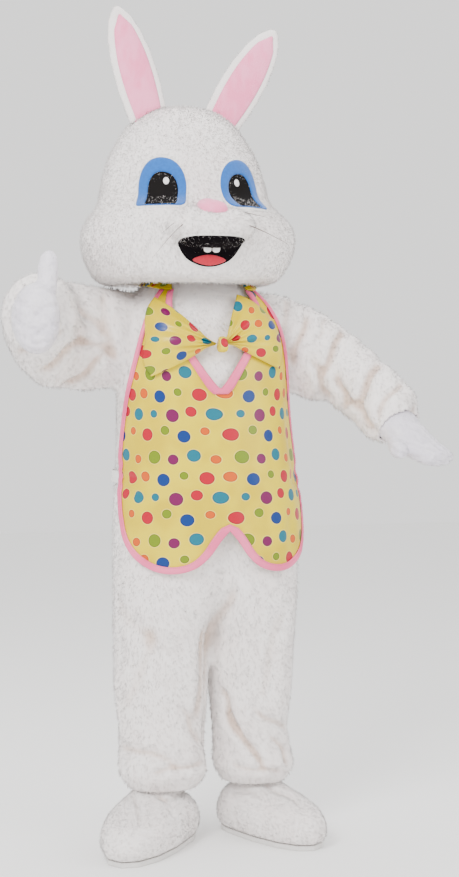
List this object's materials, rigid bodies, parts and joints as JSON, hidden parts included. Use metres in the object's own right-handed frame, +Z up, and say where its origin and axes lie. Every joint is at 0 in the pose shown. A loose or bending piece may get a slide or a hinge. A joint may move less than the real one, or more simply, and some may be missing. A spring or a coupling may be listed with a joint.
{
  "type": "rabbit mascot costume",
  "caption": "White plush rabbit mascot costume, worn: padded head, jumpsuit, dotted satin vest and bow tie, gloves and boot covers, one thumb up.",
  "frame": {"origin": "midway between the wearer's shoulders, 1.30 m above the soles", "axes": "+Z up, the costume faces -Y, +X is the wearer's left"},
  "size_m": [1.0321, 0.5409, 1.9721],
  "materials": {
    "white_plush": "long soft pile, matt",
    "glove_plush": "short soft pile, matt",
    "pink_plush": "short soft pile, matt",
    "dotted_satin": "glossy woven satin",
    "pink_satin": "satin binding",
    "white_elastic": "woven elastic",
    "blue_felt": "matt felt",
    "black_mesh": "see-through mesh",
    "white_felt": "matt felt",
    "black_felt": "matt felt",
    "red_felt": "matt felt",
    "whisker_nylon": "bendy cord",
    "sole_rubber": "matt",
    "zip_tape": "woven tape",
    "zip_metal": "polished"
  },
  "bodies": {
    "costume": {"boot_left": "white_plush", "boot_right": "white_plush", "boot_sole_left": "sole_rubber", "boot_sole_right": "sole_rubber", "bow_knot": "dotted_satin", "bow_left": "dotted_satin", "bow_right": "dotted_satin", "ear_inner_left": "pink_plush", "ear_inner_right": "pink_plush", "ear_left": "white_plush", "ear_right": "white_plush", "eye_glint_left": "white_felt", "eye_glint_right": "white_felt", "eye_left": "blue_felt", "eye_mesh_left": "black_mesh", "eye_mesh_right": "black_mesh", "eye_right": "blue_felt", "glove_left": "glove_plush", "glove_left_thumb": "glove_plush", "glove_right": "glove_plush", "glove_right_thumb": "glove_plush", "head_back": "white_plush", "head_front": "white_plush", "hip_back_left": "white_plush", "hip_back_right": "white_plush", "hip_front_left": "white_plush", "hip_front_right": "white_plush", "leg_back_left": "white_plush", "leg_back_right": "white_plush", "leg_front_left": "white_plush", "leg_front_right": "white_plush", "mouth": "black_felt", "muzzle": "white_plush", "neck_band": "white_plush", "neck_strap": "dotted_satin", "nose": "pink_plush", "sleeve_left_lower": "white_plush", "sleeve_left_upper": "white_plush", "sleeve_right_lower": "white_plush", "sleeve_right_upper": "white_plush", "tongue": "red_felt", "tooth_left": "white_felt", "tooth_right": "white_felt", "trunk_back_left": "white_plush", "trunk_back_right": "white_plush", "trunk_front_left": "white_plush", "trunk_front_right": "white_plush", "vest_binding_neck": "pink_satin", "vest_binding_outer": "pink_satin", "vest_front": "dotted_satin", "waist_strap": "white_elastic", "whisker_left_high": "whisker_nylon", "whisker_left_low": "whisker_nylon", "whisker_right_high": "whisker_nylon", "whisker_right_low": "whisker_nylon", "zip_slider": "zip_metal", "zip_slider_lug_a": "zip_metal", "zip_slider_lug_b": "zip_metal", "zip_tape": "zip_tape"},
    "zip_pull": {"zip_pull": "zip_metal"}
  },
  "joints": [
    {"name": "zip_pull_swing", "type": "hinge", "parent": "costume", "child": "zip_pull", "pos_m": [-0.0172, 0.14651, -0.014], "axis": [1, 0, 0], "range_deg": [0, 120]}
  ]
}
